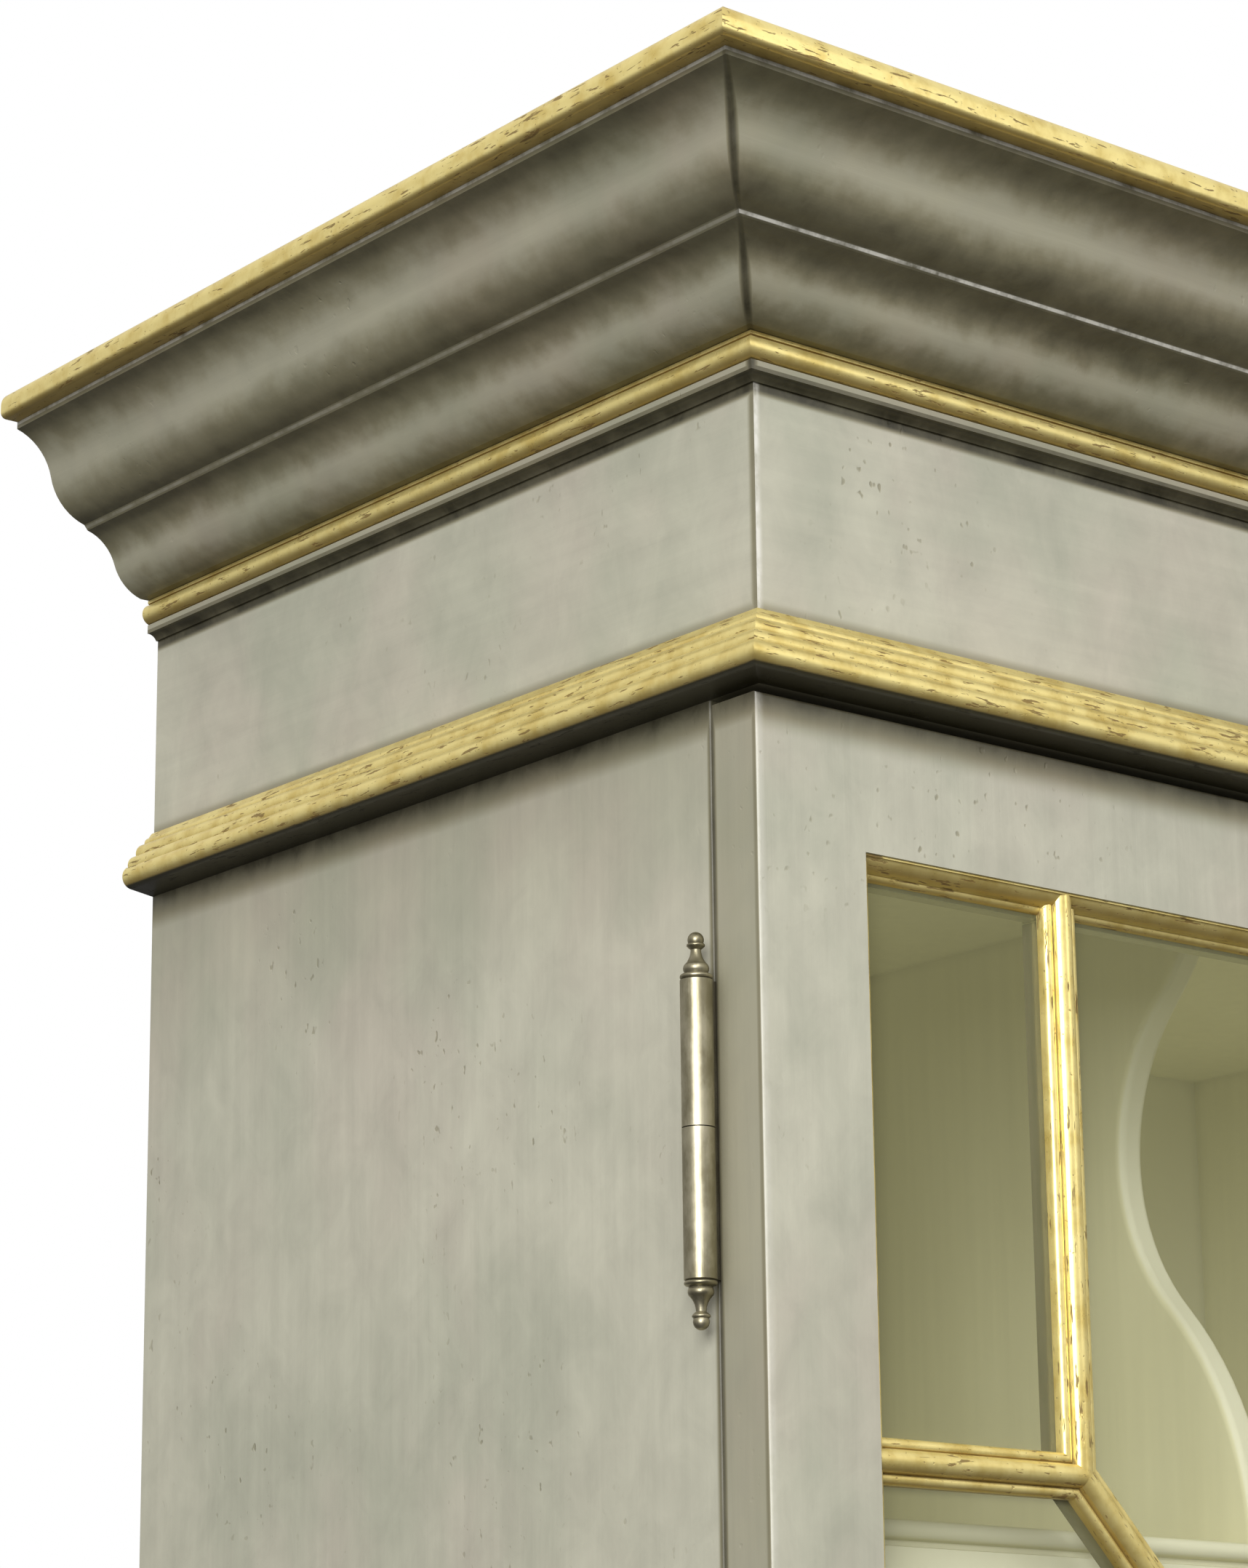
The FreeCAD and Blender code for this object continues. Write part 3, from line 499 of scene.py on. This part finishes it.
def inner_paint(name):
    """Cream-green eggshell paint of the inside, brushed up and down, with painted light on front
    faces and painted shade in corners.
    """
    material, g = new_graph(name)
    clouds = g.noise((4, 4, 3), detail=4.0, roughness=0.55)
    colour = g.blend(g.smooth(clouds, 0.3, 0.7), CREAM_DEEP, CREAM_PALE)
    streaks = g.noise(GRAIN["z"], detail=3.0, roughness=0.6)
    tone = g.ramp(streaks, 0.25, 0.75, 0.965, 1.035)
    colour = g.blend(1.0, colour, g.vector(tone, tone, tone), "MULTIPLY")
    # Painted light: faces that look to the front are paler.
    edge = g.smooth(g.facing("y"), -0.35, -0.75, 0.0, 0.85)
    colour = g.blend(edge, colour, CREAM_LIT_FRONT)
    # Painted shade in corners.
    corner = g.smooth(g.crevice(0.012), 0.3, 0.95, 0.0, 0.5)
    colour = g.blend(corner, colour, CORNER_SHADE)
    g.surface(colour, g.ramp(clouds, 0.3, 0.7, 0.42, 0.52), g.bump(streaks, 0.0001), specular=0.35)
    return material


def web_paint(name):
    """Dark webs behind the glazing bars; the beads along the frame are cream like the inside."""
    material, g = new_graph(name)
    streaks = g.noise((260, 260, 30), detail=3.0)
    colour = g.blend(g.smooth(streaks, 0.3, 0.7), WEB_DARK, WEB_BROWN)
    past_side, past_top = past_edges(g, glazed_opening, REAR_BEAD)
    on_bead = g.maths("GREATER_THAN", g.maths("MAXIMUM", past_side, past_top), 0.0)
    cream = g.blend(g.smooth(streaks, 0.3, 0.7), BEAD_DEEP, BEAD_PALE)
    colour = g.blend(on_bead, colour, cream)
    near_glass = g.smooth(g.crevice(0.003), 0.3, 0.85, 0.0, 0.7)
    colour = g.blend(near_glass, colour, WEB_SHADOW)
    g.surface(colour, g.ramp(streaks, 0.3, 0.7, 0.4, 0.55), g.bump(streaks, 0.0001), specular=0.3)
    return material


WOOD_BROWN = (0.30, 0.185, 0.095, 1)
WOOD_PALE = (0.46, 0.31, 0.175, 1)
WOOD_PORE = (0.12, 0.07, 0.035, 1)


def bare_wood(name):
    """Unpainted boards, their grain running from side to side."""
    material, g = new_graph(name)
    rings = g.noise((5, 90, 90), detail=5.0, roughness=0.6, distortion=0.8)
    pores = g.noise((40, 900, 900), detail=2.0, shift=3.0)
    colour = g.blend(g.smooth(rings, 0.3, 0.7), WOOD_BROWN, WOOD_PALE)
    colour = g.blend(g.ramp(pores, 0.6, 0.75, 0.0, 0.5), colour, WOOD_PORE)
    g.surface(colour, g.ramp(rings, 0.3, 0.7, 0.6, 0.75), g.bump(pores, 0.0002), specular=0.3)
    return material


GLASS_TINT = (0.955, 0.957, 0.915, 1)
GLASS_SHEEN = (0.95, 0.97, 0.95, 1)
GLASS_HAZE = (0.86, 0.83, 0.40, 1)
HAZE_SHARE = 0.13            # part of the light that the haze scatters on outer faces
SHEEN_IOR = 1.3


def pane_glass(name):
    """Thin clear glass with a faint green cast and a slight haze; outer faces mirror a little."""
    material, g = new_graph(name)
    clear = g.add("ShaderNodeBsdfTransparent")
    clear.inputs["Color"].default_value = GLASS_TINT
    gloss = g.add("ShaderNodeBsdfGlossy")
    gloss.inputs["Color"].default_value = GLASS_SHEEN
    gloss.inputs["Roughness"].default_value = 0.03
    g.plug(gloss.inputs["Normal"], g.bump(g.noise((7, 7, 5), detail=1.0), 0.0006))
    fresnel = g.add("ShaderNodeFresnel")
    fresnel.inputs["IOR"].default_value = SHEEN_IOR
    outside = g.maths("SUBTRACT", 1.0, g.add("ShaderNodeNewGeometry").outputs["Backfacing"])
    mix = g.add("ShaderNodeMixShader")
    g.plug(mix.inputs[0], g.maths("MULTIPLY", fresnel.outputs[0], outside))
    g.plug(mix.inputs[1], clear.outputs[0])
    g.plug(mix.inputs[2], gloss.outputs[0])
    haze = g.add("ShaderNodeBsdfDiffuse")
    haze.inputs["Color"].default_value = GLASS_HAZE
    veiled = g.add("ShaderNodeMixShader")
    g.plug(veiled.inputs[0], g.maths("MULTIPLY", outside, HAZE_SHARE))
    g.plug(veiled.inputs[1], mix.outputs[0])
    g.plug(veiled.inputs[2], haze.outputs[0])
    g.plug(g.output.inputs["Surface"], veiled.outputs[0])
    return material


# These finishes take painted shade masks and highlight masks from the functions above.
upright = glazed_paint("glazed_paint_upright", "z")
side = glazed_paint("glazed_paint_side", "z", painted_shade=side_painted_shade)
door = glazed_paint("glazed_paint_door", "z", painted_shade=door_painted_shade, wear_and_highlight=door_wear)
level = glazed_paint("glazed_paint_level", "x")
frieze = glazed_paint("glazed_paint_frieze", "x", painted_shade=frieze_painted_shade, wear_and_highlight=frieze_wear_and_highlight)
frieze_end = glazed_paint("glazed_paint_frieze_end", "y", painted_shade=frieze_painted_shade)
crown_front = glazed_paint("glazed_paint_crown", "x", painted_shade=crown_painted_shade, wear_and_highlight=crown_wear_and_highlight)
crown_side = glazed_paint("glazed_paint_crown_end", "y", painted_shade=crown_painted_shade, wear_and_highlight=crown_wear_and_highlight)
gold_mitred = gold_leaf("gold_leaf_mitred", along_mitred)
gold_architrave = gold_leaf("gold_leaf_architrave", along_mitred, architrave_low.z + SOFFIT_HEIGHT)
BY_SLOT = {"glazed_paint": upright, "gold_leaf": gold_mitred,
           "antique_nickel": antique_nickel("antique_nickel"),
           "catch_steel": catch_steel("catch_steel"), "inner_paint": inner_paint("inner_paint"),
           "web_paint": web_paint("web_paint"), "bare_wood": bare_wood("bare_wood"),
           "pane_glass": pane_glass("pane_glass")}
BY_ENDING = {"frieze_front": frieze, "frieze_ends_and_back": frieze_end, "waist_rail": level,
             "base_rail": level, "cornice_front": crown_front, "cornice_left": crown_side,
             "cornice_right": crown_side, "side_panel_left": side, "side_panel_right": side,
             "door_stiles": door, "door_rails": door, "architrave_mouldings": gold_architrave,
             "cupboard_door_sticking": gold_leaf("gold_leaf_cupboard",
                                                 along_frame(cupboard_opening)),
             "door_sticking": gold_leaf("gold_leaf_sticking", along_frame(glazed_opening)),
             "glazing_bars": gold_leaf("gold_leaf_bars", along_bars(glazed_opening))}


def finish_of(node, slot):
    """Finish of one node: the first ending that fits its name, or else the one of its slot."""
    for ending, material in BY_ENDING.items():
        if node.endswith(ending):
            return material
    return BY_SLOT[slot]


for subpart in frame["record"]["subparts"]:
    mesh = frame["nodes"][subpart["node"]].data
    mesh.materials[0] = finish_of(subpart["node"], subpart["material_slot"])


# ---- camera: low on the left, looking up at the top left-hand corner ------------------------
CAMERA_OFFSET = Vector((-0.9574, -1.1037, -0.4656))      # metres from the corner of the body
CAMERA_ANGLES = (39.004, 15.317, -0.602)                 # yaw, pitch and roll in degrees
LENS = 96.42
SENSOR_WIDTH = 36.0


def make_camera():
    """Placed from the front left corner of the body, at the foot of the frieze."""
    corner = Vector((-half_width, face_y, frieze_bottom))
    yaw, pitch, roll = (math.radians(angle) for angle in CAMERA_ANGLES)
    ahead = Vector((math.sin(yaw) * math.cos(pitch), math.cos(yaw) * math.cos(pitch),
                    math.sin(pitch)))
    sideways = ahead.cross(Vector((0, 0, 1))).normalized()
    right = Matrix.Rotation(-roll, 3, ahead) @ sideways
    up = right.cross(ahead)
    data = bpy.data.cameras.new("camera")
    data.lens = LENS
    data.sensor_width = SENSOR_WIDTH
    data.clip_end = 200
    camera = bpy.data.objects.new("camera", data)
    bpy.context.scene.collection.objects.link(camera)
    matrix = Matrix((right, up, -ahead)).transposed().to_4x4()
    matrix.translation = corner + CAMERA_OFFSET
    camera.matrix_world = matrix
    bpy.context.scene.camera = camera


# ---- light and floor ------------------------------------------------------------------------
def area_light(name, place, target, width, height, power):
    """White softbox that the camera doesn't see; power is in watts."""
    data = bpy.data.lights.new(name, "AREA")
    data.shape = "RECTANGLE"
    data.size = width
    data.size_y = height
    data.energy = power
    light = bpy.data.objects.new(name, data)
    light.visible_camera = False
    light.location = place
    light.rotation_euler = (Vector(target) - Vector(place)).to_track_quat("-Z", "Y").to_euler()
    bpy.context.scene.collection.objects.link(light)


BACKDROP_WHITE = (1, 1, 1, 1)
GLOW_COLOUR = (1.0, 0.985, 0.95, 1)
GLOW_LOW, GLOW_HIGH = 0.12, 0.66
FLOOR_REACH = 60.0           # metres to each side of the object
FLOOR_DEEP = (0.78, 0.78, 0.77, 1)
FLOOR_PALE = (0.82, 0.82, 0.81, 1)
FLOOR_GLOW_COLOUR = (1.0, 1.0, 0.99, 1)
FLOOR_GLOW = 0.28


def make_world():
    """White backdrop; as a light it is bright overhead and dim near the floor."""
    world = bpy.data.worlds.new("studio")
    bpy.context.scene.world = world
    world.use_nodes = True
    tree = world.node_tree
    tree.nodes.clear()
    add, link = tree.nodes.new, tree.links.new
    split = add("ShaderNodeSeparateXYZ")
    link(add("ShaderNodeTexCoord").outputs["Generated"], split.inputs[0])
    ramp = add("ShaderNodeMapRange")
    ramp.interpolation_type = "SMOOTHSTEP"
    link(split.outputs["Z"], ramp.inputs["Value"])
    for name, value in (("From Min", -0.45), ("From Max", 0.7),
                        ("To Min", GLOW_LOW), ("To Max", GLOW_HIGH)):
        ramp.inputs[name].default_value = value
    glow = add("ShaderNodeBackground")
    glow.inputs["Color"].default_value = GLOW_COLOUR
    link(ramp.outputs["Result"], glow.inputs["Strength"])
    backdrop = add("ShaderNodeBackground")
    backdrop.inputs["Color"].default_value = BACKDROP_WHITE
    mix = add("ShaderNodeMixShader")
    link(add("ShaderNodeLightPath").outputs["Is Camera Ray"], mix.inputs[0])
    link(glow.outputs[0], mix.inputs[1])
    link(backdrop.outputs[0], mix.inputs[2])
    link(mix.outputs[0], add("ShaderNodeOutputWorld").inputs["Surface"])


def make_floor():
    """Pale studio floor, lit a little from within so that its far edge stays pale."""
    mesh = bpy.data.meshes.new("floor")
    corners = [(x * FLOOR_REACH, y * FLOOR_REACH, 0) for x, y in ((-1, -1), (1, -1), (1, 1), (-1, 1))]
    mesh.from_pydata(corners, [], [(0, 1, 2, 3)])
    floor = bpy.data.objects.new("floor", mesh)
    material, g = new_graph("floor_pale")
    speck = g.noise((30, 30, 30), detail=3.0)
    colour = g.blend(speck, FLOOR_DEEP, FLOOR_PALE)
    shader = g.surface(colour, 0.7, None)
    shader.inputs["Emission Color"].default_value = FLOOR_GLOW_COLOUR
    shader.inputs["Emission Strength"].default_value = FLOOR_GLOW
    mesh.materials.append(material)
    bpy.context.scene.collection.objects.link(floor)
    floor.visible_diffuse = False
    floor.visible_glossy = False


make_camera()
make_world()
make_floor()
bpy.context.scene.view_settings.view_transform = "Standard"
area_light("key_softbox", (-3.6, -2.6, 2.6), (-0.5, 0.0, 1.7), 1.8, 2.0, 136)
area_light("corner_softbox", (-1.3, -1.8, 2.95), (-0.6, -0.1, 2.0), 0.7, 0.7, 7)
area_light("sheen_softbox", (0.9, -3.1, 3.2), (-0.5, -0.1, 1.9), 1.0, 1.6, 14)
